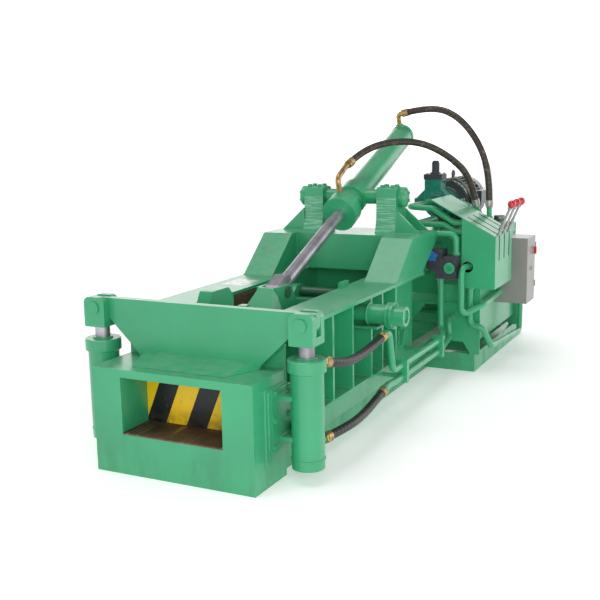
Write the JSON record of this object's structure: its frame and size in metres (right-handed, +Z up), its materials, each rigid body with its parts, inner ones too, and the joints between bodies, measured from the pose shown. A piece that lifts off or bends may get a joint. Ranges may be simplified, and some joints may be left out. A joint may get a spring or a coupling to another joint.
{
  "type": "recycling baler",
  "caption": "Horizontal hydraulic baler with sliding gate, swinging pressing lid on a long cylinder, ram, control levers and power pack.",
  "frame": {"origin": "on the floor plane at the middle of the chamber width, under the front of the gate guides' frame", "axes": "+Y from the bale outlet to the tail of the main cylinder, +Z up, +X to the operator's side with the levers"},
  "size_m": [1.6086, 3.65, 1.7119],
  "materials": {
    "machine_green": "mid-green enamel, slightly glossy",
    "worn_steel": "scuffed brown wear plate",
    "zinc_steel": "bright turned or zinc-plated steel",
    "hard_chrome": "hard-chromed rod",
    "valve_iron": "dark bare iron",
    "pump_teal": "teal paint",
    "motor_dark": "dark slate motor enamel",
    "cabinet_grey": "warm grey powder coat",
    "knob_red": "glossy red moulding",
    "hose_rubber": "black hose cover",
    "switch_plastic": "red handle on a black rose",
    "wheel_blue": "blue paint",
    "lever_steel": "bright round bar"
  },
  "bodies": {
    "machine": {"base_frame": "machine_green", "bearing_caps": "machine_green", "bearing_pedestals": "machine_green", "bell_housing": "machine_green", "console": "machine_green", "console_stand": "machine_green", "control_valve": "valve_iron", "cylinder_brackets": "machine_green", "electric_box": "cabinet_grey", "electric_motor": "motor_dark", "floor_liner": "worn_steel", "frame_bolts": "zinc_steel", "gate_cylinder_heads": "machine_green", "gate_cylinders": "machine_green", "guide_cover": "machine_green", "hose_end_fittings": "zinc_steel", "hose_gate_lower": "hose_rubber", "hose_gate_upper": "hose_rubber", "hose_lid_front": "hose_rubber", "hose_lid_rear": "hose_rubber", "lock_cylinder": "machine_green", "main_cylinder": "machine_green", "manifold": "machine_green", "oil_tank": "machine_green", "outlet_box": "machine_green", "pack_base": "machine_green", "portal_crossbeam": "machine_green", "portal_legs": "machine_green", "pressure_pipes": "machine_green", "pump": "pump_teal", "ram_housing": "machine_green", "relief_valve": "valve_iron", "side_pipes": "machine_green", "side_wall_left": "machine_green", "side_wall_right": "machine_green", "wall_liners": "worn_steel"},
    "gate": {"gate_panel": "machine_green", "gate_crossbeam": "machine_green", "gate_clevises": "machine_green", "gate_pins": "zinc_steel", "gate_rods": "hard_chrome"},
    "lid": {"lid": "machine_green", "lid_pins": "zinc_steel"},
    "lid_barrel": {"lid_cylinder_barrel": "machine_green", "lid_cylinder_trunnion": "machine_green", "lid_cylinder_fittings": "zinc_steel"},
    "lid_rod": {"lid_cylinder_rod": "hard_chrome"},
    "ram": {"ram_head": "machine_green", "ram_rod": "hard_chrome"},
    "lock_pin": {"lock_pin": "zinc_steel"},
    "lever_1": {"lever_1": "lever_steel", "lever_knob_1": "knob_red"},
    "lever_2": {"lever_2": "lever_steel", "lever_knob_2": "knob_red"},
    "lever_3": {"lever_3": "lever_steel", "lever_knob_3": "knob_red"},
    "hand_wheel": {"relief_hand_wheel": "wheel_blue"},
    "rotor": {"motor_rotor": "motor_dark"},
    "cabinet_door": {"electric_box_door": "cabinet_grey"},
    "switch": {"isolator_switch": "switch_plastic"}
  },
  "joints": [
    {"name": "gate_lift", "type": "slide", "parent": "machine", "child": "gate", "axis": [0, 0, 1], "range_m": [0, 0.27]},
    {"name": "lid_swing", "type": "hinge", "parent": "machine", "child": "lid", "pos_m": [0, 1.66, 0.6], "axis": [-1, 0, 0], "range_deg": [0, 60]},
    {"name": "lid_cylinder_tilt", "type": "hinge", "parent": "machine", "child": "lid_barrel", "pos_m": [0, 2.1, 1.145], "axis": [-1, 0, 0], "range_deg": [0, 26.6], "deforming": ["hose_lid_rear", "hose_lid_front"]},
    {"name": "lid_rod_stroke", "type": "slide", "parent": "lid_barrel", "child": "lid_rod", "axis": [0, 0.9245, 0.3812], "range_m": [0, 0.468]},
    {"name": "ram_stroke", "type": "slide", "parent": "machine", "child": "ram", "axis": [0, -1, 0], "range_m": [0, 1.2]},
    {"name": "lock_stroke", "type": "slide", "parent": "machine", "child": "lock_pin", "axis": [-1, 0, 0], "range_m": [0, 0.05]},
    {"name": "lever_1_tilt", "type": "hinge", "parent": "machine", "child": "lever_1", "pos_m": [0.76, 2.39, 0.68], "axis": [0, 1, 0], "range_deg": [-18, 18]},
    {"name": "lever_2_tilt", "type": "hinge", "parent": "machine", "child": "lever_2", "pos_m": [0.76, 2.51, 0.68], "axis": [0, 1, 0], "range_deg": [-18, 18]},
    {"name": "lever_3_tilt", "type": "hinge", "parent": "machine", "child": "lever_3", "pos_m": [0.76, 2.63, 0.68], "axis": [0, 1, 0], "range_deg": [-18, 18]},
    {"name": "hand_wheel_spin", "type": "hinge", "parent": "machine", "child": "hand_wheel", "pos_m": [0.496, 2.166, 0.774], "axis": [0, -1, 0], "continuous": true},
    {"name": "rotor_spin", "type": "hinge", "parent": "machine", "child": "rotor", "pos_m": [0.315, 3.2, 1.04], "axis": [0, -1, 0], "continuous": true},
    {"name": "cabinet_door_swing", "type": "hinge", "parent": "machine", "child": "cabinet_door", "pos_m": [0.925, 3.107, 0.6], "axis": [0, 0, 1], "range_deg": [0, 110]},
    {"name": "switch_turn", "type": "hinge", "parent": "cabinet_door", "child": "switch", "pos_m": [0.94, 3.037, 0.723], "axis": [1, 0, 0], "range_deg": [0, 90]}
  ],
  "couplings": [
    {"joint": "lid_cylinder_tilt", "follows": "lid_swing", "ratio": 0.4408},
    {"joint": "lid_rod_stroke", "follows": "lid_swing", "m_per_rad": 0.4444}
  ]
}
